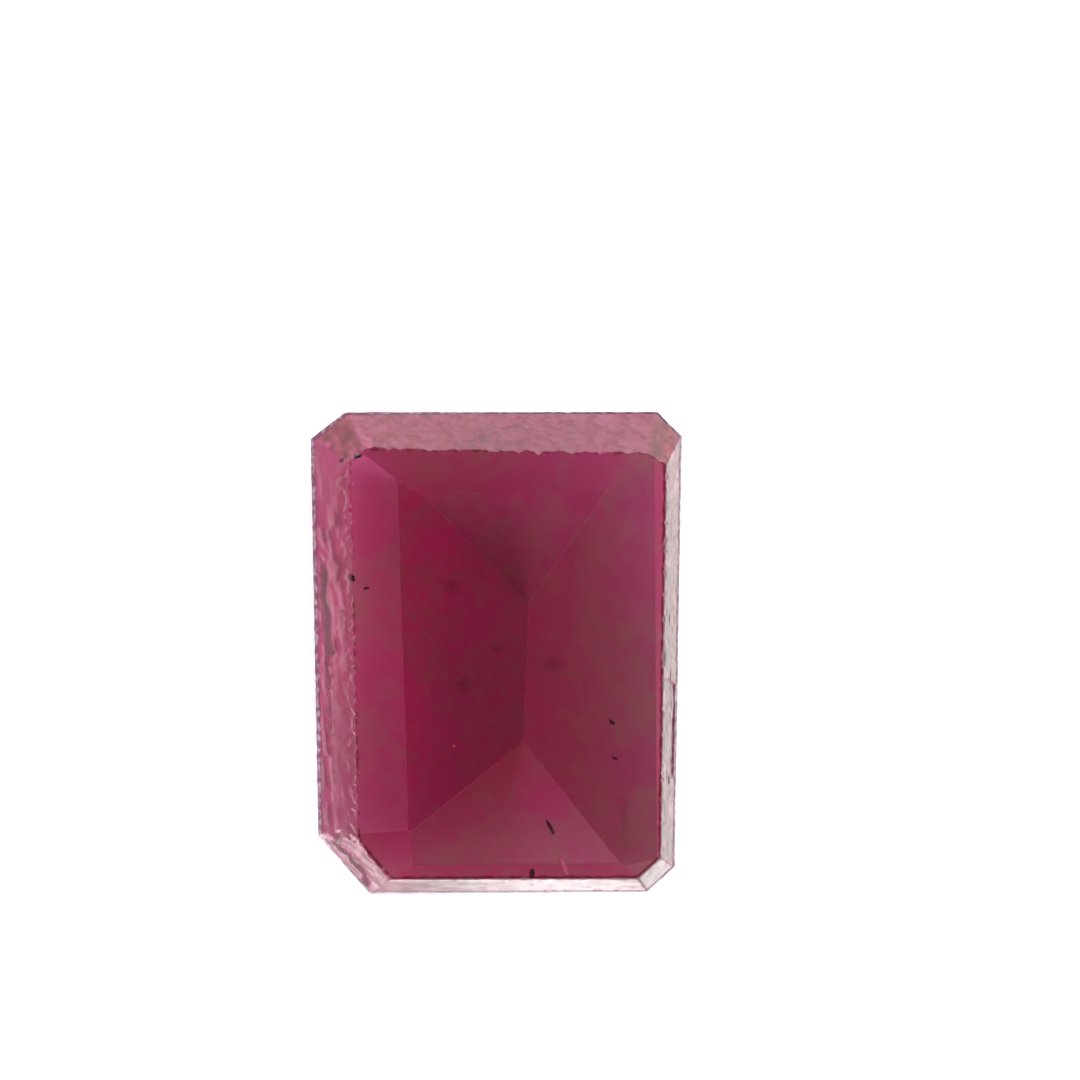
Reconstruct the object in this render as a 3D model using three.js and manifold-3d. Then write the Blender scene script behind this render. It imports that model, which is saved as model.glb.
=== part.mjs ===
// A cut and faceted ruby: an octagonal step cut, a little lopsided, as a native cut is. One solid piece.
// Lengths are millimetres, angles degrees. The stone is cut in a frame of its own, with the table level at
// w = 0: u runs across the stone, v along it, w up out of the table. It is then laid down on its long, shallow
// pavilion facet, the way it comes to rest by itself: +Z up, its long side along X, the table leaning to -Y.
import * as THREE from "three";
import { mergeVertices } from "three/addons/utils/BufferGeometryUtils.js";
import Module from "manifold-3d";

// The eight sides, clockwise seen from above the table. Each gives the girdle corner that it starts at, as u, v
// and the depth of the girdle's upper edge below the table there, and how thick the girdle is there. Then come the
// slopes from level of its crown facet and of its upper pavilion facet, which is the step below the girdle.
const SIDES = {
  upperLeftCorner: { start: [-3.84, 4.45, 0.4], girdle: 0.08, crown: 27.5, step: 45.0 },
  top: { start: [-3.15, 4.99, 0.44], girdle: 0.09, crown: 32.0, step: 47.5 },
  upperRightCorner: { start: [3.36, 5.0, 0.51], girdle: 0.12, crown: 31.5, step: 52.0 },
  right: { start: [3.85, 4.51, 0.4], girdle: 0.17, crown: 54.5, step: 60.0 },
  lowerRightCorner: { start: [3.7, -4.45, 0.37], girdle: 0.08, crown: 50.5, step: 60.0 },
  bottom: { start: [3.14, -4.97, 0.38], girdle: 0.1, crown: 55.0, step: 66.0 },
  lowerLeftCorner: { start: [-2.62, -5.0, 0.39], girdle: 0.18, crown: 38.0, step: 50.0 },
  left: { start: [-3.68, -3.82, 0.42], girdle: 0.2, crown: 28.0, step: 42.0 },
};

// The keel, where the four large lower facets of the pavilion meet, as u, v and depth of its two ends, and the
// slopes of those facets from level.
const KEEL_TOP = [0.68, 1.01, 3.75];
const KEEL_BOTTOM = [0.57, -1.88, 3.71];
const KEEL_SLOPES = { left: 31.0, right: 42.5, top: 30.5, bottom: 37.5 };
// Seen from above the table, the hip between the right and top lower facets points from the keel's top end to the
// first of these places, and the hip between the left and bottom ones from its bottom end to the second.
const UPPER_HIP_AIM = [2.81, 4.08];
const LOWER_HIP_AIM = [-1.98, -3.91];

// A shallow open fissure along the left crown facet.
const FISSURE = { centre: [-3.56, 0.65], length: 1.5, width: 0.26, depth: 0.05, lean: 4.0 };
const FISSURE_FACES_ROUND = 20;
const FISSURE_FACES_DOWN = 12;

const BLANK_SIZE = 16.0; // edge of the rough block that the facets are ground from
const WHEEL_SIZE = 40.0; // edge of the block that stands for all that a facet takes off
const SAME_POINT = 1e-5;
const ON_THE_FACE = 1e-3;

const RUBY_COLOUR = 0x8f1f3c;
const RUBY_ROUGHNESS = 0.08;

const wasm = await Module();
wasm.setup();

const radians = THREE.MathUtils.degToRad;
const straightUp = new THREE.Vector3(0, 0, 1);
const level = (u, v) => new THREE.Vector3(u, v, 0);
const below = ([u, v, depth], extra = 0) => new THREE.Vector3(u, v, -depth - extra);

// A three.js geometry as a manifold solid, and back.
function solidFrom(geometry) {
  const bare = new THREE.BufferGeometry();
  bare.setAttribute("position", geometry.getAttribute("position"));
  bare.setIndex(geometry.index);
  const merged = mergeVertices(bare, SAME_POINT);
  return new wasm.Manifold(
    new wasm.Mesh({
      numProp: 3,
      vertProperties: merged.attributes.position.array,
      triVerts: new Uint32Array(merged.index.array),
    }),
  );
}

function geometryFrom(solid) {
  const mesh = solid.getMesh();
  const geometry = new THREE.BufferGeometry();
  geometry.setAttribute("position", new THREE.BufferAttribute(mesh.vertProperties, 3));
  geometry.setIndex(new THREE.BufferAttribute(mesh.triVerts, 1));
  return geometry;
}

// Every facet is a plane whose normal points out of the stone. This one holds the edge between two points and
// leans inwards from it by its slope: up for the crown (rise 1), down for the pavilion (rise -1).
function facetOnEdge(from, to, slope, rise) {
  const edge = to.clone().sub(from).normalize();
  const outward = level(-edge.y, edge.x).normalize();
  const inward = outward.clone().multiplyScalar(-Math.cos(radians(slope)));
  inward.z = rise * Math.sin(radians(slope));
  const normal = edge.clone().cross(inward).normalize();
  if (normal.dot(outward) < 0) normal.negate();
  return new THREE.Plane().setFromNormalAndCoplanarPoint(normal, from);
}

// A lower pavilion facet holds the line between two points, has the given slope and faces down and to the side
// given. Its normal is (s cos a, s sin a, -c), with s and c the slope's sine and cosine. That it is square to the
// line leaves two headings a, one to each side of the line, and the one nearer to the side given is taken.
function facetOnHip(from, to, slope, side) {
  const line = to.clone().sub(from).normalize();
  const sine = Math.sin(radians(slope));
  const cosine = Math.cos(radians(slope));
  const heading = Math.atan2(line.y, line.x);
  const swing = Math.acos((cosine * line.z) / (sine * Math.hypot(line.x, line.y)));
  const normals = [heading + swing, heading - swing].map(
    (a) => new THREE.Vector3(sine * Math.cos(a), sine * Math.sin(a), -cosine),
  );
  normals.sort((a, b) => b.dot(side) - a.dot(side));
  return new THREE.Plane().setFromNormalAndCoplanarPoint(normals[0], from);
}

// The point of a facet straight below u, v.
function pointOnFacet({ normal, constant }, [u, v]) {
  return new THREE.Vector3(u, v, -(constant + normal.x * u + normal.y * v) / normal.z);
}

// Grinding takes off everything beyond the facet's plane.
function grind(solid, plane) {
  const wheel = new THREE.BoxGeometry(WHEEL_SIZE, WHEEL_SIZE, WHEEL_SIZE);
  wheel.translate(0, 0, WHEEL_SIZE / 2 - plane.constant);
  wheel.applyQuaternion(new THREE.Quaternion().setFromUnitVectors(straightUp, plane.normal));
  return solid.subtract(solidFrom(wheel));
}

// The crown, the girdle and the upper pavilion facets, all worked out from the girdle's corners.
const table = new THREE.Plane(straightUp, 0);
const crown = {};
const girdle = {};
const steps = {};
const names = Object.keys(SIDES);
names.forEach((name, i) => {
  const side = SIDES[name];
  const next = SIDES[names[(i + 1) % names.length]];
  const lowFrom = below(side.start, side.girdle);
  const lowTo = below(next.start, next.girdle);
  crown[name] = facetOnEdge(below(side.start), below(next.start), side.crown, 1);
  girdle[name] = facetOnEdge(lowFrom.clone().setZ(0), lowTo.clone().setZ(0), 90, -1);
  steps[name] = facetOnEdge(lowFrom, lowTo, side.step, -1);
});

// The four lower pavilion facets, worked out from the keel.
const keelTop = below(KEEL_TOP);
const keelBottom = below(KEEL_BOTTOM);
const lowerLeft = facetOnHip(keelTop, keelBottom, KEEL_SLOPES.left, level(-1, 0));
const lowerRight = facetOnHip(keelTop, keelBottom, KEEL_SLOPES.right, level(1, 0));
const upperHip = pointOnFacet(lowerRight, UPPER_HIP_AIM);
const lowerHip = pointOnFacet(lowerLeft, LOWER_HIP_AIM);
const lowerTop = facetOnHip(keelTop, upperHip, KEEL_SLOPES.top, level(0, 1));
const lowerBottom = facetOnHip(keelBottom, lowerHip, KEEL_SLOPES.bottom, level(0, -1));

let stone = solidFrom(new THREE.BoxGeometry(BLANK_SIZE, BLANK_SIZE, BLANK_SIZE));
const facets = [table, crown, girdle, steps, lowerLeft, lowerRight, lowerTop, lowerBottom];
for (const facet of facets.flatMap((f) => (f.isPlane ? f : Object.values(f)))) stone = grind(stone, facet);

// The fissure is a long, flat ellipsoid sunk into the left crown facet, with its middle on the facet's surface.
const pit = new THREE.SphereGeometry(1, FISSURE_FACES_ROUND, FISSURE_FACES_DOWN);
pit.scale(FISSURE.width / 2, FISSURE.length / 2, FISSURE.depth);
pit.rotateZ(radians(FISSURE.lean));
pit.applyQuaternion(new THREE.Quaternion().setFromUnitVectors(straightUp, crown.left.normal));
pit.translate(...pointOnFacet(crown.left, FISSURE.centre));
stone = stone.subtract(solidFrom(pit));

// Laying it down turns the left lower facet straight down, with v along -X as far as that allows.
const up = lowerLeft.normal.clone().negate();
const alongX = level(0, -1).projectOnPlane(up).normalize();
const alongY = up.clone().cross(alongX);
const geometry = geometryFrom(stone).toNonIndexed();
geometry.applyMatrix4(new THREE.Matrix4().makeBasis(alongX, alongY, up).transpose());

// The origin is the middle of that resting facet, on the ground.
const ground = lowerLeft.constant;
const foot = new THREE.Box3();
const point = new THREE.Vector3();
const places = geometry.getAttribute("position");
for (let i = 0; i < places.count; i++) {
  point.fromBufferAttribute(places, i);
  if (Math.abs(point.z - ground) < ON_THE_FACE) foot.expandByPoint(point);
}
const middle = foot.getCenter(new THREE.Vector3());
geometry.translate(-middle.x, -middle.y, -ground);
geometry.computeVertexNormals();

const ruby = new THREE.Mesh(
  geometry,
  new THREE.MeshStandardMaterial({
    color: RUBY_COLOUR,
    roughness: RUBY_ROUGHNESS,
    metalness: 0,
    flatShading: true,
  }),
);
ruby.name = "ruby";

const part = new THREE.Group();
part.name = "faceted_ruby";
part.add(ruby);
export default part;
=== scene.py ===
"""A cut and faceted ruby on a pale table top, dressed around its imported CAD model.

The stone's facets are read from the CAD node as planes. Its skin is made anew from them as one closed
mesh with softened edges, hand-ground crown facets and a chipped table rim, and small inclusions are set
inside it. Shapes are worked out in millimetres and turned into metres when a mesh is made.
"""

import bmesh
import bpy
import numpy as np
from mathutils import Matrix, Vector


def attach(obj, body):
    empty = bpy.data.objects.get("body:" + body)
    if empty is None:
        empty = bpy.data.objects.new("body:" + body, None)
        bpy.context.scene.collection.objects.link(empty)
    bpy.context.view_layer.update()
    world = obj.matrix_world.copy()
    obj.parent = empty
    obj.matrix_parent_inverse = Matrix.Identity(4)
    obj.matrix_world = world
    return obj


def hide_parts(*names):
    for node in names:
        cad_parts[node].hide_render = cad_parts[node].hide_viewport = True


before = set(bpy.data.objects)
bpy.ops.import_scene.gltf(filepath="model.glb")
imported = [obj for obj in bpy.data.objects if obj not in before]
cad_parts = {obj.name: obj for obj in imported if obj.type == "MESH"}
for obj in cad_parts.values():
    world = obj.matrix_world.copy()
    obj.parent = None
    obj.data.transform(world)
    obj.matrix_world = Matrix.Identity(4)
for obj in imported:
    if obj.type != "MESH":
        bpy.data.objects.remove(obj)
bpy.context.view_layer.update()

MM = 0.001

# The photograph is 1080 pixels square, and the stone's outline is centred in it here, at this many pixels
# to a millimetre in the plane of the table.
PHOTO_SIDE = 1080
PHOTO_CENTRE_OF_STONE = (496.2, 653.0)
PIXELS_PER_MM = 48.0
CAMERA_DISTANCE = 200.0  # from the table facet, mm
SENSOR_WIDTH = 36.0  # mm


# The cut stone's planes.


def facet_planes(node):
    """The outward unit normals and the reaches (distance from the origin along the normal, mm) of a cut
    stone's facets: the planes of the node's triangles that have the whole stone behind them, each plane
    once. Also gives the node's points."""
    mesh = node.data
    mesh.calc_loop_triangles()
    points = np.empty(len(mesh.vertices) * 3)
    mesh.vertices.foreach_get("co", points)
    points = points.reshape(-1, 3) / MM
    triangles = np.empty(len(mesh.loop_triangles) * 3, dtype=int)
    mesh.loop_triangles.foreach_get("vertices", triangles)
    a, b, c = points[triangles.reshape(-1, 3)].transpose(1, 0, 2)
    normals = np.cross(b - a, c - a)
    doubled_area = np.linalg.norm(normals, axis=1)
    broad = doubled_area > SLIVER_AREA
    normals = normals[broad] / doubled_area[broad, None]
    reaches = (normals * a[broad]).sum(1)
    outermost = (normals @ points.T).max(1) < reaches + SAME_PLACE
    weights = doubled_area[broad][outermost]
    normals, reaches = normals[outermost], reaches[outermost]
    same = normals @ normals.T > SAME_DIRECTION
    first = same.argmax(1) == np.arange(len(same))
    merged = (same[first] * weights) @ normals
    merged /= np.linalg.norm(merged, axis=1)[:, None]
    return merged, (merged @ points.T).max(1), points


SLIVER_AREA = 1e-4  # mm2
SAME_PLACE = 2e-3  # mm
CORNER_SIZE = 0.02  # mm, within which two places are one corner
SAME_DIRECTION = 0.99985

ruby_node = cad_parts["ruby"]
normals, reaches, cad_points = facet_planes(ruby_node)


def facet_corners(normals, reaches, points):
    """For each facet its corners in turn, anticlockwise seen from outside. A corner is a place where three or
    more facets meet, and a facet's corners are put in order of their bearing from its middle."""
    on_facet = np.abs(points @ normals.T - reaches) < SAME_PLACE
    corners = points[on_facet.sum(1) >= 3]
    keys = np.round(corners / (CORNER_SIZE / 2)).astype(int)
    corners = corners[np.unique(keys, axis=0, return_index=True)[1]]
    gap = np.linalg.norm(corners[:, None] - corners[None], axis=2)
    corners = corners[(gap < CORNER_SIZE).argmax(1) == np.arange(len(corners))]
    on_facet = np.abs(corners @ normals.T - reaches) < 2 * SAME_PLACE
    rings = []
    for normal, members in zip(normals, on_facet.T):
        ring = corners[members]
        middle = ring.mean(0)
        across = ring[0] - middle
        bearing = np.arctan2((ring - middle) @ np.cross(normal, across), (ring - middle) @ across)
        rings.append(ring[bearing.argsort()])
    return rings


rings = facet_corners(normals, reaches, cad_points)

# The cut frame: w out of the table facet, v along the stone and u across it.
areas = np.array([np.linalg.norm(np.cross(ring, np.roll(ring, -1, 0)).sum(0)) / 2 for ring in rings])
table = areas.argmax()
cut_w = normals[table]
cut_v = np.cross(cut_w, [0.0, 1.0, 0.0])
cut_v /= np.linalg.norm(cut_v)
cut_u = np.cross(cut_v, cut_w)
outline = np.concatenate(rings)
middle_u = np.ptp(outline @ cut_u) / 2 + (outline @ cut_u).min()
middle_v = np.ptp(outline @ cut_v) / 2 + (outline @ cut_v).min()


def in_cut_frame(u, v, depth):
    """The place that lies u across and v along from the middle of the stone, and depth below its table."""
    return (
        np.multiply.outer(middle_u + np.asarray(u), cut_u)
        + np.multiply.outer(middle_v + np.asarray(v), cut_v)
        + np.multiply.outer(reaches[table] - np.asarray(depth), cut_w)
    )


# Which facets are which: by how much a facet's normal leans up or down from the girdle.
GIRDLE_LEAN, CROWN_LEAN, TABLE_LEAN = 0.1, 0.3, 0.99
facing = normals @ cut_w
is_crown = (facing > CROWN_LEAN) & (facing < TABLE_LEAN)
is_girdle = np.abs(facing) < GIRDLE_LEAN
is_pavilion = facing < -CROWN_LEAN
bearing = np.degrees(np.arctan2(normals @ cut_v, normals @ cut_u))

LATTICE_SIDE = 32
LATTICE_SEED = 41
LATTICE = np.random.default_rng(LATTICE_SEED).uniform(-1.0, 1.0, (LATTICE_SIDE,) * 3)


def smooth_noise(places):
    """Value noise from -1 to 1: a random value at each whole-numbered place, and between them the eight
    nearest values blended with the weights t * t * (3 - 2 t) along each axis."""
    cell = np.floor(places).astype(int)
    t = places - cell
    t = t * t * (3 - 2 * t)
    total = np.zeros(len(places))
    for corner in np.ndindex(2, 2, 2):
        weight = np.where(corner, t, 1 - t).prod(1)
        total += weight * LATTICE[tuple(((cell + corner) % LATTICE_SIDE).T)]
    return total


# The skin's grid.
RIM_STEP = 0.038  # mm between the points along a facet's edges
CROWN_RINGS = [0.0, 0.008, 0.02, 0.036, 0.06]  # mm in from the edge, where it's softened
TABLE_RINGS = [0.0, 0.008, 0.02, 0.036, 0.055, 0.075, 0.1, 0.14]
PAVILION_RINGS = [0.0, 0.012, 0.06]
FINE_STEP = 0.036  # mm between rings on the crown and girdle
COARSE_STEP = 0.17  # mm between rings elsewhere
SPINE_SHARE = 0.9


def facet_rings(ring, normal, near_rim, step):
    """A facet as rings of points, from its rim to a narrow slot round its spine: (1 - t) rim + t spine. The
    spine lies along the facet's longest edge, through its middle, and each point of the rim has the nearest
    point of the spine. The rings near the rim are given, and further in they lie a step apart."""
    ends = np.roll(ring, -1, 0)
    counts = np.maximum(1, np.round(np.linalg.norm(ends - ring, axis=1) / RIM_STEP)).astype(int)
    turns = [np.arange(count)[:, None] / count for count in counts]
    rim = np.concatenate([a + (b - a) * turn for a, b, turn in zip(ring, ends, turns)])
    along = (ends - ring)[counts.argmax()]
    along = along / np.linalg.norm(along)
    x, y = rim @ along, rim @ np.cross(normal, along)
    half_width = np.ptp(y) / 2
    half_spine = max(0.0, np.ptp(x) / 2 - half_width)
    spine_x = np.clip(x - (x.min() + x.max()) / 2, -half_spine, half_spine) * SPINE_SHARE
    spine = rim.mean(0) + spine_x[:, None] * along
    depths = [depth for depth in near_rim if depth < half_width / 2]
    depths += list(np.arange(depths[-1] + step, half_width - step / 2, step))
    t = np.array(depths)[:, None, None] / half_width
    return (1 - t) * rim + t * spine


def skin_grid():
    """All facets' rings as points, four-sided faces between neighbouring rings, and one face in each slot."""
    points, faces, base = [], [], 0
    near_rims = [TABLE_RINGS if i == table else PAVILION_RINGS if is_pavilion[i] else CROWN_RINGS
                 for i in range(len(normals))]
    for ring, normal, near_rim in zip(rings, normals, near_rims):
        grid = facet_rings(ring, normal, near_rim, FINE_STEP if near_rim is CROWN_RINGS else COARSE_STEP)
        index = base + np.arange(grid[..., 0].size).reshape(grid.shape[:2])
        beside = np.roll(index, -1, 1)
        quads = np.stack([index[:-1], beside[:-1], beside[1:], index[1:]], -1)
        faces += [*quads.reshape(-1, 4).tolist(), index[-1].tolist()]
        points.append(grid.reshape(-1, 3))
        base += index.size
    return np.concatenate(points), faces


# Softened edges and hand-ground facets.
SOFTNESS = 0.006  # mm, about how far back an edge of the table or crown is softened
CHIPPING = 0.012  # mm more where such an edge is chipped
CHIP_SIZE = 0.2
NIBBLE_DEPTH, NIBBLE_SIZE, NIBBLE_REACH = 0.060, 0.075, 0.04  # mm
UNBITTEN = 0.05
KEEN = 0.0004  # mm, the softness of the pavilion's edges
CROWN_DEPTH = 0.7  # mm below the table, past the girdle
NEWTON_STEPS = 14
SHARP_TURN = 28.0  # degrees between faces that are shaded apart
WAVE_DEPTH, WAVE_SIZE = 0.003, 1.1  # mm, the slow waviness of the table and crown

# Open fissures, as lines on the stone seen from above the table (u, v in mm), with their half width and
# depth.
FISSURES = {
    "left_groove": (
        [(-3.66, 1.95), (-3.62, 1.1), (-3.56, 0.27), (-3.50, -0.56), (-3.46, -1.6)],
        0.026,
        0.028,
    ),
    "left_break": (
        [(-3.60, 1.75), (-3.60, 1.2), (-3.50, 0.72), (-3.52, 0.3), (-3.44, -0.02)],
        0.07,
        0.04,
    ),
    "corner_break": (
        [(-3.30, -3.85), (-3.33, -4.0), (-3.07, -4.26), (-2.79, -4.58), (-2.68, -4.86)],
        0.05,
        0.05,
    ),
}
FISSURE_SHAKE, SHAKE_SIZE = 0.03, 0.13  # mm
SHAKE_APART = 9  # noise cells between the two directions' noise

# The eight sides by their bearing, and the marks of the grinding lap on the crown there: their length,
# width and depth in mm, and how much they lean from the line of the girdle, in degrees.
SIDE_BEARINGS = {
    "right": 0.0,
    "upper_right_corner": 45.0,
    "top": 90.0,
    "upper_left_corner": 135.0,
    "left": 180.0,
    "lower_left_corner": -137.0,
    "bottom": -90.0,
    "lower_right_corner": -45.0,
}
LAP_MARKS = {
    "right": (0.20, 0.08, 0.022, 8.0),
    "upper_right_corner": (0.16, 0.09, 0.016, -35.0),
    "top": (0.17, 0.065, 0.045, -22.0),
    "upper_left_corner": (0.20, 0.11, 0.016, 35.0),
    "left": (0.34, 0.105, 0.034, 5.0),
    "lower_left_corner": (0.22, 0.09, 0.044, 12.0),
    "bottom": (0.20, 0.10, 0.005, 0.0),
    "lower_right_corner": (0.20, 0.10, 0.008, 35.0),
}

# Where the left side is worn roughest, as lines with their half width. The rest of it keeps a share of the
# marks.
WORN_LINES = [
    ([(-3.50, 2.6), (-3.45, -0.1)], 0.32),
    ([(-3.66, 2.6), (-3.56, -1.0), (-3.48, -3.7)], 0.10),
]
UNWORN_SHARE = 0.20

# A stretch of the right side is ground a little steeper: how much deeper it gets for each mm down, and the
# places along the stone where it begins and ends at the table's edge. Its ends slant.
STEEP_STRETCH = 0.10
STRETCH_TOP, STRETCH_BOTTOM = -0.42, -2.60
STRETCH_SLANT = 0.7


def turned_from(side):
    """How far each facet's bearing is turned from a side's, in degrees."""
    return np.abs((bearing - SIDE_BEARINGS[side] + 180) % 360 - 180)


def side_of(facet):
    """The named side that a facet belongs to."""
    return min(SIDE_BEARINGS, key=lambda side: turned_from(side)[facet])


def lap_marks(points):
    """The grinding marks of the crown, from -1 on their ridges to 1 in their hollows, as an array of points
    by facets: long cells of noise, lying along the facet's level direction turned by their lean, with
    small round ones among them."""
    marks = np.zeros((len(points), len(normals)))
    for facet in np.flatnonzero(is_crown):
        length, width, _, lean = LAP_MARKS[side_of(facet)]
        level = np.cross(cut_w, normals[facet])
        level /= np.linalg.norm(level)
        climb = np.cross(normals[facet], level)
        turn = np.radians(lean)
        x = points @ (np.cos(turn) * level + np.sin(turn) * climb)
        y = points @ (np.cos(turn) * climb - np.sin(turn) * level)
        lane = np.full(len(points), LANE_GAP * facet)
        strokes = smooth_noise(np.stack([x / length, y / width, lane], 1))
        grains = smooth_noise(np.stack([x / GRAIN_LENGTH, y / GRAIN_WIDTH, lane + GRAIN_LANE], 1))
        marks[:, facet] = STROKE_SHARE * strokes + (1 - STROKE_SHARE) * grains
        if side_of(facet) == "left":
            marks[:, facet] *= wear(points)
    return marks


GRAIN_LENGTH, GRAIN_WIDTH = 0.085, 0.075  # mm
LANE_GAP = 5.3  # noise cells between one facet's marks and the next's
GRAIN_LANE = 2.5  # noise cells between a facet's long marks and its round ones
STROKE_SHARE = 0.65


def wear(points):
    """How strong the marks of the left side are: its unworn share, and the rest by exp(-(distance / half
    width)^2) from the nearest of the worn lines."""
    u, v = points @ cut_u - middle_u, points @ cut_v - middle_v
    strength = np.max([np.exp(-(line_distance(u, v, line) / half) ** 2) for line, half in WORN_LINES], 0)
    return UNWORN_SHARE + (1 - UNWORN_SHARE) * strength


def line_distance(u, v, line):
    """The distance of every place u, v from a line of straight pieces: from each piece, the distance to its
    nearest point, and then the least of them."""
    places = np.stack([u, v], 1)
    starts = np.array(line[:-1])
    spans = np.array(line[1:]) - starts
    offsets = places[:, None] - starts
    along = np.clip((offsets * spans).sum(2) / (spans ** 2).sum(1), 0, 1)
    return np.linalg.norm(offsets - along[..., None] * spans, axis=2).min(1)


def fissure_strength(points):
    """From 0 to 1 how deep in a fissure each point is, and how deep that is in mm: exp(-(distance / half
    width)^2), with the line shaken a little by noise."""
    u = points @ cut_u - middle_u + FISSURE_SHAKE * smooth_noise(points / SHAKE_SIZE)
    v = points @ cut_v - middle_v + FISSURE_SHAKE * smooth_noise(points / SHAKE_SIZE + SHAKE_APART)
    strengths = [np.exp(-(line_distance(u, v, line) / half) ** 2) for line, half, _ in FISSURES.values()]
    depths = [deep * strength for strength, (_, _, deep) in zip(strengths, FISSURES.values())]
    return np.max(strengths, 0), np.max(depths, 0)


def nibbles(points):
    """How deep the crown is nibbled along the table's edge, in mm: the rise of a fine noise over zero,
    fading away from the table's plane."""
    below_table = reaches[table] - points @ cut_w
    bites = np.clip(smooth_noise(points / NIBBLE_SIZE) - UNBITTEN, 0, 1)
    return NIBBLE_DEPTH * bites * np.exp(-below_table / NIBBLE_REACH)


def steep_stretch(points):
    """How much deeper the right side is in its steep stretch, in mm: the depth below the table times its
    slope."""
    v = points @ cut_v - middle_v
    below_table = reaches[table] - points @ cut_w
    inside = (v < STRETCH_TOP - STRETCH_SLANT * below_table) & (v > STRETCH_BOTTOM)
    return STEEP_STRETCH * np.clip(below_table, 0, None) * inside


def let_in(points, marks):
    """How far each facet is let in at each point, in mm, as an array of points by facets."""
    sides = [side_of(i) for i in range(len(normals))]
    depths = np.array([LAP_MARKS[side][2] for side in sides]) * is_crown
    waves = WAVE_DEPTH * (1 + smooth_noise(points / WAVE_SIZE))[:, None] * (facing > CROWN_LEAN)
    jagged = is_crown & (np.array(sides) != "bottom")
    is_right = is_crown & (np.array(sides) == "right")
    worn = fissure_strength(points)[1][:, None] * is_crown + nibbles(points)[:, None] * jagged
    return waves + depths / 2 * marks + worn + steep_stretch(points)[:, None] * is_right


def soften(points):
    """Draws every point towards the stone's middle until it lies on the softened stone, where the sum over
    all facets of exp(-(depth below the facet) / softness) is one. Newton's method on the sum's logarithm,
    along the line from the middle. Also gives each facet's share of that sum, as an array of points by
    facets."""
    middle = outline.mean(0)
    arms = points - middle
    marks = lap_marks(points)
    chips = SOFTNESS + CHIPPING * np.clip(smooth_noise(points / CHIP_SIZE), 0, 1)[:, None] ** 2
    depth = (reaches[table] - points @ cut_w)[:, None]
    softness = np.where(depth < CROWN_DEPTH, chips, KEEN)
    inner = reaches - normals @ middle - let_in(points, marks)
    climb = arms @ normals.T
    stretch = np.ones(len(points))
    for _ in range(NEWTON_STEPS):
        load = (stretch[:, None] * climb - inner) / softness
        peak = load.max(1, keepdims=True)
        share = np.exp(load - peak)
        total = share.sum(1, keepdims=True)
        height = peak[:, 0] + np.log(total[:, 0])
        share /= total
        stretch -= height / (share * climb / softness).sum(1)
    return middle + arms * stretch[:, None], share, (share * marks).sum(1)


def mesh_object(name, points, faces, material, smooth=True):
    """A mesh object of these points (mm) and faces, at the origin."""
    mesh = bpy.data.meshes.new(name)
    mesh.from_pydata(points * MM, [], faces)
    mesh.materials.append(material)
    mesh.polygons.foreach_set("use_smooth", np.full(len(mesh.polygons), smooth))
    thing = bpy.data.objects.new(name, mesh)
    bpy.context.scene.collection.objects.link(thing)
    return thing


def merge_doubles(mesh):
    """Points of the mesh that fall together become one."""
    work = bmesh.new()
    work.from_mesh(mesh)
    bmesh.ops.remove_doubles(work, verts=work.verts, dist=MERGE_DISTANCE * MM)
    work.to_mesh(mesh)
    work.free()


MERGE_DISTANCE = 2e-4  # mm


def point_places(mesh):
    """The places of a mesh's points, in mm."""
    places = np.empty(len(mesh.vertices) * 3)
    mesh.vertices.foreach_get("co", places)
    return places.reshape(-1, 3) / MM


# How each facet is finished: its roughness; a tint of painted light and shade, which makes each facet lighter
# or darker as the light falls on and through it; and a painted glow, a faint emission that stands in for
# light.
NO_PAINTED_GLOW = (0.0, 0.0, 0.0)
FINISHES_AND_PAINTED_LIGHT = {
    "table": (0.05, (1.0, 0.70, 0.80), NO_PAINTED_GLOW),
    "girdle": (0.45, (0.30, 0.12, 0.22), NO_PAINTED_GLOW),
    "crown_top": (0.15, (0.88, 0.13, 0.31), (0.06, 0.005, 0.025)),
    "crown_left": (0.17, (0.64, 0.08, 0.29), (0.05, 0.002, 0.02)),
    "crown_right": (0.28, (0.51, 0.03, 0.08), NO_PAINTED_GLOW),
    "crown_bottom": (0.24, (1.0, 1.0, 1.0), (0.05, 0.04, 0.04)),
    "crown_upper_left_corner": (0.22, (0.54, 0.04, 0.125), NO_PAINTED_GLOW),
    "crown_upper_right_corner": (0.22, (0.58, 0.03, 0.07), NO_PAINTED_GLOW),
    "crown_lower_right_corner": (0.24, (0.40, 0.32, 0.34), (0.08, 0.07, 0.07)),
    "crown_lower_left_corner": (0.30, (1.0, 0.10, 0.38), (0.08, 0.03, 0.05)),
    "lower_left": (0.42, (0.84, 1.0, 1.0), NO_PAINTED_GLOW),
    "lower_top": (0.42, (0.18, 0.068, 0.10), NO_PAINTED_GLOW),
    "lower_right": (0.40, (0.52, 0.53, 0.46), NO_PAINTED_GLOW),
    "lower_bottom": (0.36, (0.82, 0.38, 0.47), NO_PAINTED_GLOW),
    "step_left": (0.55, (0.92, 1.0, 0.96), (0.05, 0.040, 0.045)),
    "step_top": (0.48, (0.56, 0.50, 0.56), (0.05, 0.014, 0.026)),
    "step_right": (0.50, (0.65, 0.72, 0.54), (0.24, 0.075, 0.13)),
    "step_bottom": (0.50, (0.76, 0.48, 0.60), (0.16, 0.030, 0.07)),
    "step_corner": (0.55, (1.0, 0.85, 0.85), (0.06, 0.004, 0.012)),
}

# Painted shade: how the tint of a facet rises across and along the stone, as powers of e for each mm.
TINT_SLOPES = {
    "lower_left": (-0.34, 0.06),
    "lower_top": (-0.30, 0.06),
    "lower_right": (0.24, 0.20),
    "lower_bottom": (-0.08, 0.06),
    "step_left": (0.30, 0.08),
    "step_top": (-0.05, -0.25),
}


SIDE_REACH = 25.0  # degrees to either side of a side's bearing


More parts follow.
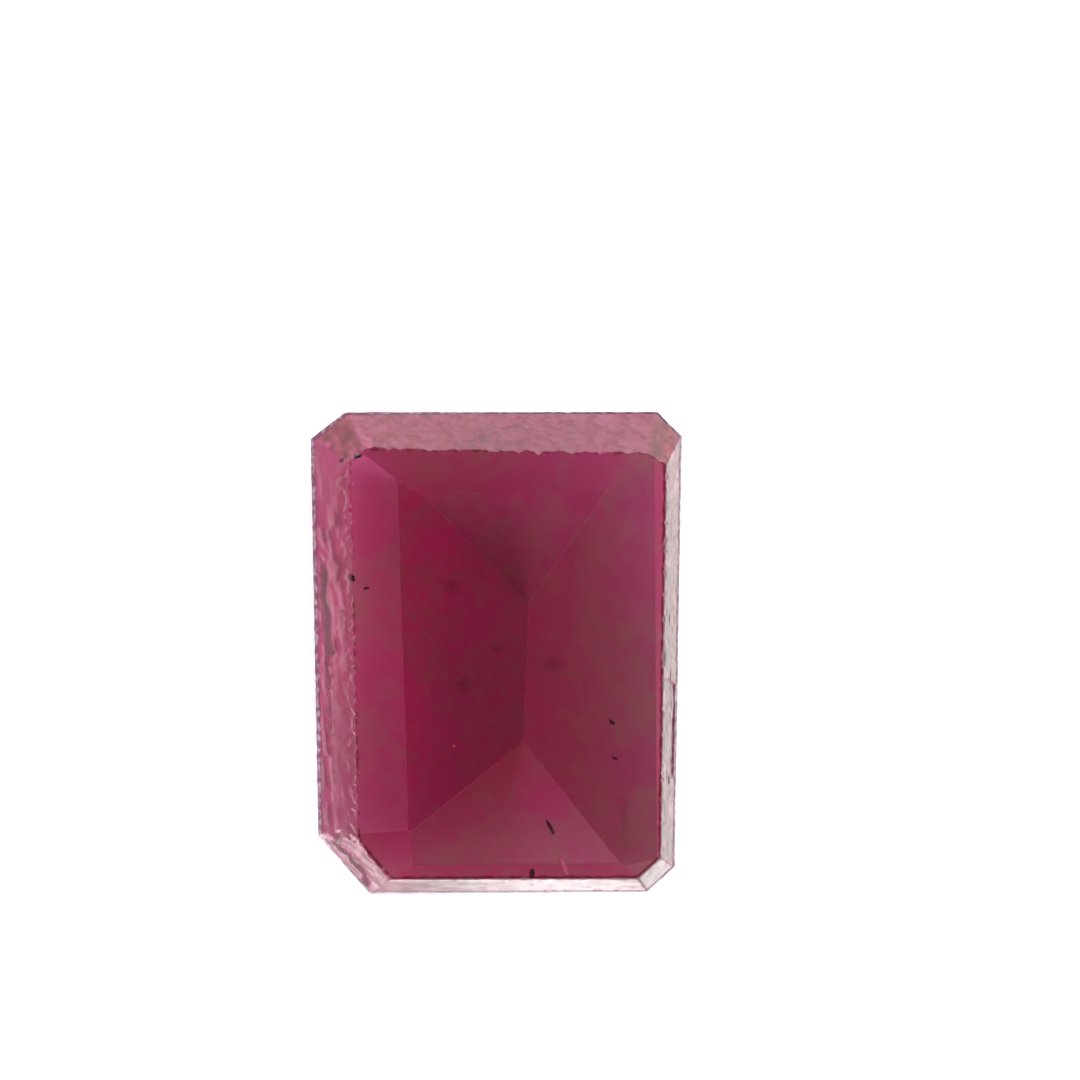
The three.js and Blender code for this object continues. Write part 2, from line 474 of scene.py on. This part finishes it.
def facet_names():
    """A name for every facet. On each side of the pavilion the lower facet is the one that faces down the
    most, and the step the one that faces down the least."""
    names = np.full(len(normals), "step_corner", dtype=object)
    names[table], names[is_girdle] = "table", "girdle"
    names[is_crown] = ["crown_" + side_of(facet) for facet in np.flatnonzero(is_crown)]
    for side in ("left", "top", "right", "bottom"):
        facets = np.flatnonzero(is_pavilion & (turned_from(side) < SIDE_REACH))
        names[facets[facing[facets].argmin()]] = "lower_" + side
        names[facets[facing[facets].argmax()]] = "step_" + side
    return names


# The crystal's colour zones lie between these two.
MAUVE = (0.80, 1.0, 0.78, 1)
MAGENTA = (0.97, 0.55, 0.87, 1)

# Lap marks change the tint of the crown, its red, green and blue each by a factor of its own: painted light
# and shade on real marks. It is lighter in their hollows, a painted sheen, and darker on the ridges that
# stand up more than DARK_FROM, a painted shade, where it keeps at least DARKEST of it.
DARK_FROM = 0.06
DARKEST = (0.45, 0.10, 0.22)
PAINTED_MARK_SHEEN = (1.8, 0.9, 2.8)
PAINTED_MARK_SHADE = (2.2, 5.0, 3.4)

# The stain in the fissures, and the colour of the painted shade at the table's edge.
STAIN_STRENGTH = 1.3
STAIN_TINT = (0.07, 0.03, 0.022, 1)
EDGE_SHADE_COLOUR = (0.20, 0.0, 0.04, 1)

# The painted shade inside the table's edge: a dark line on the sides where the crown is steep.
EDGE_LINE_WIDTH = 0.085  # mm

# Patches of brighter colour low in the stone: their middles across and along, and their radius, in mm.
PATCH_BREAKUP = 0.5
PATCH_GRAIN = 0.35  # mm
BRIGHT_PATCHES = [
    (-2.65, 3.60, 0.75),
    (-2.75, 2.60, 0.50),
    (-2.60, -3.00, 0.70),
    (-2.20, -3.90, 0.55),
    (0.90, 4.20, 0.55),
    (2.10, 3.90, 0.45),
    (3.00, 1.60, 0.55),
    (-1.20, -2.60, 0.60),
    (-1.10, 2.30, 0.45),
    (-2.55, -0.40, 0.60),
    (0.20, 3.40, 0.50),
    (1.75, 3.10, 0.40),
    (3.10, 3.10, 0.40),
    (2.90, -2.20, 0.45),
    (1.00, -3.10, 0.40),
    (-0.60, 0.60, 0.45),
    (-1.60, -1.40, 0.45),
]


def sloping_shares(points, share, names):
    """The facets' shares at each point, with each facet's share times the rise of its tint there:
    exp(slope across * distance across + slope along * distance along), from the facet's middle."""
    places = np.stack([points @ cut_u, points @ cut_v], 1)
    middles = np.array([[(ring @ cut_u).mean(), (ring @ cut_v).mean()] for ring in rings])
    slopes = np.array([TINT_SLOPES.get(name, (0.0, 0.0)) for name in names])
    return share * np.exp(((places[:, None] - middles) * slopes).sum(2))


def bright_patches(points):
    """How bright the colour is at each point: the sum of exp(-(distance / radius)^2) over the patches, seen
    from above the table, broken up by noise."""
    u, v = points @ cut_u - middle_u, points @ cut_v - middle_v
    total = sum(np.exp(-((u - a) ** 2 + (v - b) ** 2) / radius ** 2) for a, b, radius in BRIGHT_PATCHES)
    return np.clip(total * (1 + PATCH_BREAKUP * smooth_noise(points / PATCH_GRAIN)), 0, 1)


def painted_edge_shade(points):
    """From 0 to 1 how much each point belongs to the painted shade at the table's edge: a dark line where it
    lies on the table, nearer to a steep crown facet than the line's width, which noise makes ragged. Along
    the other facets noise breaks it up into dark notches of painted shade."""
    gap = (reaches[is_crown] - points @ normals[is_crown].T) / np.sqrt(1 - facing[is_crown] ** 2)
    ragged = EDGE_LINE_WIDTH * (1 + EDGE_RAGGED * smooth_noise(points / NOTCH_SIZE))
    steep = facing[is_crown] < STEEP
    line = np.clip(EDGE_CRISP * (1 - gap[:, steep].min(1) / ragged), 0, 1)
    notch = np.clip(EDGE_CRISP * (1 - gap[:, ~steep].min(1) / EDGE_LINE_WIDTH), 0, 1)
    notched = np.clip(NOTCH_CRISP * smooth_noise(points / NOTCH_SIZE), 0, NOTCH_DARKEST)
    return np.maximum(line, notch * notched)


EDGE_RAGGED = 0.3
EDGE_CRISP = 3
STEEP = 0.8  # a crown facet that leans up less than this is steep
NOTCH_SIZE = 0.09  # mm
NOTCH_CRISP, NOTCH_DARKEST = 4, 0.9


# Soft dark spots under the table: their places across and along, their radius in mm and how dark they are.
SOFT_SPOTS = [
    (-0.93, 1.37, 0.22, 0.60),
    (-0.67, -0.67, 0.28, 0.42),
    (1.18, -0.23, 0.30, 0.45),
    (0.04, 0.08, 0.14, 0.3),
    (2.63, -3.10, 0.16, 0.3),
    (2.66, -3.35, 0.18, 0.45),
    (2.70, -3.65, 0.18, 0.45),
    (2.70, -3.95, 0.18, 0.4),
    (2.66, -4.25, 0.16, 0.3),
]
SPOT_SHADE = (0.25, 0.25, 0.25, 1)


def soft_spots(points):
    """How dark the soft spots make each point: each falls smoothly from its middle to its radius, by three
    times the square less twice the cube of the way there, and the darkest one counts."""
    darkest = np.zeros(len(points))
    for u, v, radius, strength in SOFT_SPOTS:
        way = np.clip(np.linalg.norm(points - in_cut_frame(u, v, 0), axis=1) / radius, 0, 1)
        darkest = np.maximum(darkest, strength * (1 - way**2 * (3 - 2 * way)))
    return darkest


def add_node(tree, kind, values=None, **settings):
    """A new node with these settings. Each of its values goes into the input socket that it names: an output
    socket is linked to it, and anything else is its default."""
    node = tree.nodes.new(kind)
    for name, setting in settings.items():
        setattr(node, name, setting)
    for name, value in (values or {}).items():
        if isinstance(value, bpy.types.NodeSocket):
            tree.links.new(value, node.inputs[name])
        else:
            node.inputs[name].default_value = value
    return node


def mask(tree, name):
    """The number that a piece's attribute of this name holds."""
    return add_node(tree, "ShaderNodeAttribute", attribute_name=name).outputs["Fac"]


def colours_of(tree, name):
    """The colour that a piece's attribute of this name holds."""
    return add_node(tree, "ShaderNodeAttribute", attribute_name=name).outputs["Color"]


def object_place(tree):
    """The place on the piece."""
    return add_node(tree, "ShaderNodeTexCoord").outputs["Object"]


def mixed(tree, factor, first, second, blend="MIX"):
    """Two colours mixed by a factor."""
    values = {"Factor": factor, "A": first, "B": second}
    return add_node(tree, "ShaderNodeMix", values, data_type="RGBA", blend_type=blend).outputs["Result"]


def ramped(tree, value, from_min, from_max, to_min, to_max, interpolation="LINEAR"):
    """A value moved from one range to another, and held within it."""
    ranges = {"From Min": from_min, "From Max": from_max, "To Min": to_min, "To Max": to_max}
    node = add_node(tree, "ShaderNodeMapRange", {"Value": value, **ranges}, interpolation_type=interpolation)
    return node.outputs[0]


RUBY_IOR = 1.77
ABSORBED_COLOUR = (0.745, 0.11, 0.435, 1)
ABSORPTION_DENSITY = 570.0  # per metre
CLOUD_SCALE, CLOUD_DETAIL = 1900.0, 2.0
CLOUD_FROM, CLOUD_WHOLE = 0.42, 0.58
CLOUD_SHARE = 0.75
SHINE_FROM, SHINE_WHOLE = 0.1, 0.6  # how strong a lap mark is before it shines, and when it shines most
MOST_SHINE = 0.5
SHINE_ROUGHNESS = 0.35


def ruby_material():
    """Clear ruby: transmission with plain absorption. The attributes of the stone give each facet's
    roughness, its tint of painted light and shade, and its painted glow, an emission that stands in for
    light. Zones of colour, soft spots, the painted shade at the table's edge and the stain in the fissures
    change the tint. The hollows of the lap marks shine a little. The painted glow is too weak to be sampled
    as a light."""
    material = bpy.data.materials.new("ruby")
    material.use_nodes = True
    material.cycles.emission_sampling = "NONE"
    tree = material.node_tree
    grain = {"Vector": object_place(tree), "Scale": CLOUD_SCALE, "Detail": CLOUD_DETAIL}
    noise = add_node(tree, "ShaderNodeTexNoise", grain).outputs["Fac"]
    clouds = ramped(tree, noise, CLOUD_FROM, CLOUD_WHOLE, 0.0, 1.0)
    zones = {0: clouds, 1: CLOUD_SHARE, 2: mask(tree, "bright")}
    zoning = add_node(tree, "ShaderNodeMath", zones, operation="MULTIPLY_ADD", use_clamp=True).outputs[0]
    colour = mixed(tree, 1.0, colours_of(tree, "painted_light_tint"), mixed(tree, zoning, MAUVE, MAGENTA), "MULTIPLY")
    colour = mixed(tree, mask(tree, "soft_spots"), colour, SPOT_SHADE, "MULTIPLY")
    colour = mixed(tree, mask(tree, "painted_edge_shade"), colour, EDGE_SHADE_COLOUR)
    colour = mixed(tree, mask(tree, "stain"), colour, STAIN_TINT)
    glass = tree.nodes["Principled BSDF"]
    glass.inputs["IOR"].default_value = RUBY_IOR
    glass.inputs["Transmission Weight"].default_value = 1.0
    glass.inputs["Coat Roughness"].default_value = SHINE_ROUGHNESS
    glass.inputs["Emission Strength"].default_value = 1.0
    shine = ramped(tree, mask(tree, "lap_marks"), SHINE_FROM, SHINE_WHOLE, 0.0, MOST_SHINE)
    tree.links.new(mask(tree, "roughness"), glass.inputs["Roughness"])
    tree.links.new(colour, glass.inputs["Base Color"])
    tree.links.new(shine, glass.inputs["Coat Weight"])
    tree.links.new(colours_of(tree, "painted_glow"), glass.inputs["Emission Color"])
    depth = {"Color": ABSORBED_COLOUR, "Density": ABSORPTION_DENSITY}
    absorb = add_node(tree, "ShaderNodeVolumeAbsorption", depth)
    tree.links.new(absorb.outputs[0], tree.nodes["Material Output"].inputs["Volume"])
    return material


stone = mesh_object("ruby_stone", *skin_grid(), ruby_material())
merge_doubles(stone.data)
skin, share, mark_strength = soften(point_places(stone.data))
stone.data.vertices.foreach_set("co", (skin * MM).ravel())
names = facet_names()
# Each facet's roughness, its tint of painted light and shade, and its painted glow.
rough, painted_light_tint, painted_glow = (np.array(values) for values in zip(*(FINISHES_AND_PAINTED_LIGHT[name] for name in names)))
on_crown = share[:, is_crown].sum(1)
stain = np.clip(STAIN_STRENGTH * fissure_strength(skin)[0], 0, 1) * on_crown
masks = {
    "roughness": share @ rough,
    "lap_marks": mark_strength * (1 - stain),
    "bright": bright_patches(skin),
    "soft_spots": soft_spots(skin),
    "painted_edge_shade": painted_edge_shade(skin) * share[:, table],
    "stain": stain,
}
for name, values in masks.items():
    stone.data.attributes.new(name, "FLOAT", "POINT").data.foreach_set("value", values)
# The tint paints light and shade: each facet's tint, sloped across the stone, times the painted sheen and
# shade of the lap marks.
marks = (mark_strength * on_crown)[:, None]
mark_sheen_and_shade = 1 + np.clip(marks, 0, 1) * PAINTED_MARK_SHEEN + np.clip(marks + DARK_FROM, -1, 0) * PAINTED_MARK_SHADE
tinted = sloping_shares(skin, share, names) @ painted_light_tint * np.clip(mark_sheen_and_shade, DARKEST, None)
for name, colours in (("painted_light_tint", np.clip(tinted, 0, 1)), ("painted_glow", share @ painted_glow)):
    rows = np.concatenate([colours, np.ones((len(skin), 1))], 1)
    stone.data.attributes.new(name, "FLOAT_COLOR", "POINT").data.foreach_set("color", rows.ravel())
stone.data.update()
stone.data.set_sharp_from_angle(angle=np.radians(SHARP_TURN))
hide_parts("ruby")
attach(stone, "root")


# The girdle was left as it was ground: a matt band round the stone, a hair proud of the glass, that climbs
# onto the crown a little. For each side how far it climbs, in mm, and how pale it is painted: painted light
# on the lit sides, painted shade on the others.
BAND_SIDES = {
    "right": (0.075, 0.55),
    "upper_right_corner": (0.040, 0.12),
    "top": (0.030, 0.05),
    "upper_left_corner": (0.035, 0.08),
    "left": (0.055, 0.14),
    "lower_left_corner": (0.075, 0.50),
    "bottom": (0.085, 0.95),
    "lower_right_corner": (0.070, 0.60),
}
BAND_PROUD = 0.026  # mm
BAND_SUNK = 0.02
BAND_STEP = 0.03
BAND_RAGGED = 0.014
RAG_SIZE = 0.10


def girdle_band():
    """The band as a closed ring: at every step along the girdle a five-cornered section, round its outer
    lower and upper edge, the end of its lip on the crown, the same sunk in the stone, and its inner lower
    edge. Noise makes its edges and its lip ragged. Also gives how pale each point is painted, the painted
    light and shade of its side."""
    parts = {"upper": [], "lower": [], "out": [], "climb": [], "rise": [], "lip": [], "pale": []}
    for facet in np.flatnonzero(is_girdle)[bearing[is_girdle].argsort()]:
        ring = rings[facet]
        sideways = np.cross(cut_w, normals[facet])
        above = np.flatnonzero(is_crown)[(normals[is_crown] @ normals[facet]).argmax()]
        height, along = ring @ cut_w, ring @ sideways
        order = np.lexsort((height > np.median(height), along))
        start_low, start_high, end_low, end_high = ring[order]
        count = max(2, round(float(np.linalg.norm(end_high - start_high)) / BAND_STEP))
        t = (np.arange(count) / count)[:, None]
        lip, pale = BAND_SIDES[side_of(facet)]
        climb = np.cross(normals[above], sideways)
        climb *= np.sign(climb @ cut_w)
        parts["upper"].append(start_high + (end_high - start_high) * t)
        parts["lower"].append(start_low + (end_low - start_low) * t)
        for name, value in (("out", normals[facet]), ("climb", climb), ("rise", normals[above])):
            parts[name].append(np.tile(value, (count, 1)))
        parts["lip"].append(np.full((count, 1), lip))
        parts["pale"].append(np.full(count, pale))
    upper, lower, out, climb, rise, lip, pale = (np.concatenate(part) for part in parts.values())
    out = (out + np.roll(out, 1, 0)) / 2
    out /= np.linalg.norm(out, axis=1)[:, None]
    rag = BAND_RAGGED * (RAG_LIFT + smooth_noise(upper / RAG_SIZE))[:, None]
    reach = upper + climb * lip * (1 + LIP_RAGGED * smooth_noise(upper / RAG_SIZE + LIP_APART))[:, None]
    section = [
        upper + out * (BAND_PROUD + rag / 2) + cut_w * rag / 2,
        lower + out * (BAND_PROUD + rag / 2) - cut_w * rag,
        lower - out * BAND_SUNK - cut_w * rag,
        reach - rise * BAND_SUNK,
        reach + rise * LIP_PROUD,
    ]
    points = np.stack(section, 1)
    index = np.arange(points[..., 0].size).reshape(points.shape[:2])
    ahead = np.roll(index, -1, 0)
    quads = np.stack([index, np.roll(index, -1, 1), np.roll(ahead, -1, 1), ahead], -1)
    return points.reshape(-1, 3), quads.reshape(-1, 4).tolist(), np.repeat(pale, len(section))


LIP_PROUD = 0.008  # mm
LIP_RAGGED = 0.6
LIP_APART = 4.0  # noise cells between the edges' noise and the lip's
RAG_LIFT = 0.6


def mottle_group():
    """A node group that mixes two colours by a noise of the given scale, pushed towards the second by an
    amount, and gives the noise as a height as well."""
    group = bpy.data.node_groups.new("mottle", "ShaderNodeTree")
    for name, kind in (("First", "Color"), ("Second", "Color"), ("Push", "Float"), ("Scale", "Float")):
        group.interface.new_socket(name, in_out="INPUT", socket_type="NodeSocket" + kind)
    group.interface.new_socket("Colour", in_out="OUTPUT", socket_type="NodeSocketColor")
    group.interface.new_socket("Height", in_out="OUTPUT", socket_type="NodeSocketFloat")
    given = group.nodes.new("NodeGroupInput").outputs
    result = group.nodes.new("NodeGroupOutput")
    grain = {"Vector": object_place(group), "Scale": given["Scale"], "Detail": MOTTLE_DETAIL}
    noise = add_node(group, "ShaderNodeTexNoise", grain).outputs["Fac"]
    spread = ramped(group, noise, MOTTLE_FROM, MOTTLE_TO, -MOTTLE_SPREAD, MOTTLE_SPREAD)
    both = {0: spread, 1: given["Push"]}
    pushed = add_node(group, "ShaderNodeMath", both, operation="ADD", use_clamp=True).outputs[0]
    group.links.new(mixed(group, pushed, given["First"], given["Second"]), result.inputs["Colour"])
    group.links.new(noise, result.inputs["Height"])
    return group


MOTTLE_DETAIL = 2.0
MOTTLE_FROM, MOTTLE_TO = 0.35, 0.65
MOTTLE_SPREAD = 0.25
mottle = mottle_group()


def mottled_material(name, first, second, push, scale, roughness, bump):
    """A matt finish of two mottled colours, with the mottling as a fine relief of the given depth in mm. The
    push towards the second colour is a number, or the name of an attribute."""
    material = bpy.data.materials.new(name)
    material.use_nodes = True
    tree = material.node_tree
    paint = tree.nodes["Principled BSDF"]
    paint.inputs["Roughness"].default_value = roughness
    amount = mask(tree, push) if isinstance(push, str) else push
    values = {"First": first, "Second": second, "Push": amount, "Scale": scale}
    pattern = add_node(tree, "ShaderNodeGroup", values, node_tree=mottle)
    tree.links.new(pattern.outputs["Colour"], paint.inputs["Base Color"])
    if bump:
        fine = {"Distance": bump * MM, "Height": pattern.outputs["Height"]}
        relief = add_node(tree, "ShaderNodeBump", fine)
        tree.links.new(relief.outputs["Normal"], paint.inputs["Normal"])
    return material


# Inclusions: where they lie across and along the stone and below the table, and their length, width and
# heading.
NEEDLES = [
    (1.12, -3.62, 0.45, 0.34, 0.075, -62),
    (2.41, -1.44, 0.40, 0.17, 0.07, -42),
    (2.47, -2.20, 0.50, 0.14, 0.06, -30),
    (0.75, -4.59, 0.20, 0.19, 0.10, 82),
    (-3.00, 1.56, 0.15, 0.13, 0.09, -60),
    (-2.71, 1.35, 0.35, 0.13, 0.06, 10),
    (-3.19, 4.02, 0.12, 0.14, 0.08, 20),
    (-2.88, 4.10, 0.12, 0.17, 0.08, 15),
]
FEATHERS = [
    (1.41, -4.43, 0.50, 0.40, 0.09, -68),
    (-0.88, -1.94, 0.60, 0.07, 0.05, 0),
]
BLOB_ROUND, BLOB_DOWN = 12, 7
BLOB_SHAKE = 0.3
BLOB_LUMPS = 1.7  # noise cells to a grain's half length
BLOBS_APART = 3.1  # noise cells between one grain and the next


def blobs(rows):
    """Long uneven grains: a sphere of rings, stretched to each grain's length and width, shaken by noise and
    turned to its heading in the plane of the table."""
    turn = np.linspace(0, 2 * np.pi, BLOB_ROUND, endpoint=False)
    fall = np.linspace(0, np.pi, BLOB_DOWN + 2)[1:-1]
    body = np.stack([
        np.repeat(np.cos(fall), BLOB_ROUND),
        np.outer(np.sin(fall), np.cos(turn)).ravel(),
        np.outer(np.sin(fall), np.sin(turn)).ravel(),
    ], 1)
    ball = np.concatenate([body, [[1.0, 0, 0], [-1.0, 0, 0]]])
    index = np.arange(len(body)).reshape(BLOB_DOWN, BLOB_ROUND)
    beside = np.roll(index, -1, 1)
    quads = np.stack([index[:-1], index[1:], beside[1:], beside[:-1]], -1).reshape(-1, 4).tolist()
    caps = [[len(body), a, b] for a, b in zip(index[0], beside[0])]
    caps += [[len(body) + 1, b, a] for a, b in zip(index[-1], beside[-1])]
    one = quads + [[int(i) for i in cap] for cap in caps]
    points, faces = [], []
    for number, (u, v, depth, length, width, heading) in enumerate(rows):
        shaken = ball * (1 + BLOB_SHAKE * smooth_noise(ball * BLOB_LUMPS + BLOBS_APART * number))[:, None]
        turned = np.radians(heading)
        along = np.cos(turned) * cut_u + np.sin(turned) * cut_v
        aside = np.cross(cut_w, along)
        spread = shaken * [length / 2, width / 2, width / 2]
        points.append(in_cut_frame(u, v, depth) + spread @ np.stack([along, aside, cut_w]))
        faces += [[i + number * len(ball) for i in face] for face in one]
    return np.concatenate(points), faces


# Clouds of dark dust: their middles, their half lengths across and along, and how many grains they hold.
DUST_CLOUDS = [
    (-0.93, 1.37, 1.3, 0.08, 0.10, 90),
    (-0.67, -0.67, 1.5, 0.10, 0.10, 90),
    (1.18, -0.23, 1.4, 0.12, 0.12, 90),
    (0.04, 0.08, 1.6, 0.06, 0.06, 40),
    (2.66, -3.65, 1.0, 0.04, 0.36, 120),
]
GRAIN = 0.014  # mm across
SMALLEST_GRAIN, LARGEST_GRAIN = 0.6, 1.2
DUST_SEED = 7


def dust():
    """Clouds of eight-sided grains, placed by normal draws about each cloud's middle."""
    draw = np.random.default_rng(DUST_SEED)
    corners = np.array([[1, 0, 0], [-1, 0, 0], [0, 1, 0], [0, -1, 0], [0, 0, 1], [0, 0, -1]], float)
    sides = np.array([[0, 2, 4], [2, 1, 4], [1, 3, 4], [3, 0, 4], [2, 0, 5], [1, 2, 5], [3, 1, 5], [0, 3, 5]])
    seats = []
    for u, v, depth, across, along, count in DUST_CLOUDS:
        spread = draw.normal(size=(count, 3)) * [across, along, across]
        seats.append(in_cut_frame(u + spread[:, 0], v + spread[:, 1], depth + spread[:, 2]))
    seats = np.concatenate(seats)
    sizes = GRAIN / 2 * draw.uniform(SMALLEST_GRAIN, LARGEST_GRAIN, (len(seats), 1, 3))
    points = seats[:, None] + corners * sizes
    faces = sides + 6 * np.arange(len(seats))[:, None, None]
    return points.reshape(-1, 3), faces.reshape(-1, 3).tolist()


# The two colours of each matt finish. The girdle's are its painted shade and its painted light.
NEEDLE_DARKS = ((0.012, 0.002, 0.006, 1), (0.07, 0.008, 0.022, 1))
FEATHER_PINKS = ((0.80, 0.22, 0.42, 1), (1.0, 0.55, 0.75, 1))
GIRDLE_SHADE_AND_LIGHT = ((0.15, 0.05, 0.10, 1), (0.66, 0.52, 0.60, 1))
dark = mottled_material("dark_inclusion", *NEEDLE_DARKS, push=0.45, scale=9000, roughness=0.5, bump=0.01)
pale = mottled_material("pale_feather", *FEATHER_PINKS, push=0.4, scale=7000, roughness=0.6, bump=0.01)
matt = mottled_material("bruted_girdle_painted_light", *GIRDLE_SHADE_AND_LIGHT, push="pale", scale=8000, roughness=0.7, bump=0.008)
*band_shape, band_painted_light = girdle_band()
band = mesh_object("girdle_band", *band_shape, matt, smooth=False)
band.data.attributes.new("pale", "FLOAT", "POINT").data.foreach_set("value", band_painted_light)
pieces = [
    band,
    mesh_object("needle_inclusions", *blobs(NEEDLES), dark),
    mesh_object("feather_inclusions", *blobs(FEATHERS), pale),
    mesh_object("dust_inclusions", *dust(), dark, smooth=False),
]
for piece in pieces:
    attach(piece, "root")

# Floor: pale, with a painted glow on the side that the stone leans to: a faint emission that washes out the
# shadow that would fall there.
FLOOR_HALF = 600.0  # mm
FLOOR_LEVEL = -0.0008  # mm, a hair below the resting facet
PAINTED_FLOOR_GLOW = 0.6
GLOW_FROM, GLOW_WHOLE = -2.2, -3.2  # mm along Y
FLOOR_GREYS = ((0.84, 0.84, 0.84, 1), (0.88, 0.88, 0.88, 1))
floor_material = mottled_material("pale_floor", *FLOOR_GREYS, push=0.5, scale=40, roughness=0.7, bump=0.0)
floor_material.cycles.emission_sampling = "NONE"
tree = floor_material.node_tree
floor_paint = tree.nodes["Principled BSDF"]
floor_paint.inputs["Emission Color"].default_value = (1, 1, 1, 1)
split = add_node(tree, "ShaderNodeSeparateXYZ", {0: object_place(tree)})
glow_ends = (GLOW_WHOLE * MM, GLOW_FROM * MM, PAINTED_FLOOR_GLOW, 0.0)
painted_glow = ramped(tree, split.outputs["Y"], *glow_ends, "SMOOTHSTEP")
tree.links.new(painted_glow, floor_paint.inputs["Emission Strength"])
unit_square = np.array([[-1, -1, 0], [1, -1, 0], [1, 1, 0], [-1, 1, 0]], float)
corners = FLOOR_HALF * unit_square + [0, 0, FLOOR_LEVEL]
floor = mesh_object("floor", corners, [[0, 1, 2, 3]], floor_material, smooth=False)

# The light all round: brighter to one side of the zenith, and dark round the direction that the table facet
# mirrors to the camera.
HORIZON = 0.6
ZENITH = 2.2
LIGHT_LEAN = (-0.30, 0.35, 0.888)
DULL_FROM, BRIGHT_AT = -0.35, 0.8
DARK_SHARE = 0.03  # of the light is left in the dark round
DARK_WITHIN, DARK_UNTIL = 16, 32  # degrees


def cosine_to(tree, place, direction):
    """The cosine of the angle between where a ray of the world comes from and a direction."""
    values = {0: place, 1: direction}
    return add_node(tree, "ShaderNodeVectorMath", values, operation="DOT_PRODUCT").outputs["Value"]


world = bpy.data.worlds.new("studio")
bpy.context.scene.world = world
world.use_nodes = True
tree = world.node_tree
place = add_node(tree, "ShaderNodeTexCoord").outputs["Generated"]
dark_ends = np.cos(np.radians([DARK_UNTIL, DARK_WITHIN])).tolist()
dark_patch = ramped(tree, cosine_to(tree, place, cut_w), *dark_ends, 1.0, DARK_SHARE, "SMOOTHSTEP")
rise = ramped(tree, cosine_to(tree, place, LIGHT_LEAN), DULL_FROM, BRIGHT_AT, HORIZON, ZENITH, "SMOOTHSTEP")
product = add_node(tree, "ShaderNodeMath", {0: rise, 1: dark_patch}, operation="MULTIPLY").outputs[0]
tree.links.new(product, tree.nodes["Background"].inputs["Strength"])
tree.nodes["Background"].inputs["Color"].default_value = (1, 1, 1, 1)


def panel(name, place, aim, size, radiance):
    """A soft light panel: where it stands, what it faces, its width and height in mm, and its radiance."""
    data = bpy.data.lights.new(name, "AREA")
    data.shape = "RECTANGLE"
    data.size, data.size_y = size[0] * MM, size[1] * MM
    data.energy = radiance * np.pi * data.size * data.size_y
    lamp = bpy.data.objects.new(name, data)
    bpy.context.scene.collection.objects.link(lamp)
    lamp.location = Vector(place) * MM
    lamp.rotation_mode = "QUATERNION"
    lamp.rotation_quaternion = (Vector(place) - Vector(aim)).to_track_quat("Z", "Y")
    lamp.visible_camera = False


# The large panel stands far off to the stone's right. The small ones stand close to its lower end, for the
# crown facets there to mirror. Two of them are kept low, so that the table doesn't mirror them in views
# from that end.
PANELS = {
    "right_panel": ((0, 60, 16), (0, 0, 2), (60, 24), 3.4),
    "low_panel": ((11.5, 3.5, 1.2), (4, 2, 1.2), (17, 2.2), 6.6),
    "corner_panel": ((9.0, -11.0, 1.2), (4.4, -3.4, 1.2), (9, 2.2), 6.6),
    "high_panel": ((11.5, 9.6, 5.5), (3.6, 4.0, 5.0), (3.6, 3.6), 6.0),
}
for name, setting in PANELS.items():
    panel(name, *setting)

scene = bpy.context.scene
scene.view_settings.view_transform = "Standard"
scene.cycles.max_bounces = 20
scene.cycles.transmission_bounces = 14
scene.cycles.glossy_bounces = 8
scene.cycles.diffuse_bounces = 2
scene.cycles.volume_bounces = 0
scene.cycles.sample_clamp_indirect = 10

# The camera, square on to the table.
camera_data = bpy.data.cameras.new("camera")
camera_data.sensor_width = SENSOR_WIDTH
camera_data.lens = SENSOR_WIDTH * CAMERA_DISTANCE * PIXELS_PER_MM / PHOTO_SIDE
camera_data.clip_start = MM
camera = bpy.data.objects.new("camera", camera_data)
scene.collection.objects.link(camera)
scene.camera = camera
aim_u = (PHOTO_SIDE / 2 - PHOTO_CENTRE_OF_STONE[0]) / PIXELS_PER_MM
aim_v = (PHOTO_CENTRE_OF_STONE[1] - PHOTO_SIDE / 2) / PIXELS_PER_MM
seat = in_cut_frame(aim_u, aim_v, -CAMERA_DISTANCE) * MM
camera.matrix_world = Matrix((
    (cut_u[0], cut_v[0], cut_w[0], seat[0]),
    (cut_u[1], cut_v[1], cut_w[1], seat[1]),
    (cut_u[2], cut_v[2], cut_w[2], seat[2]),
    (0, 0, 0, 1),
))
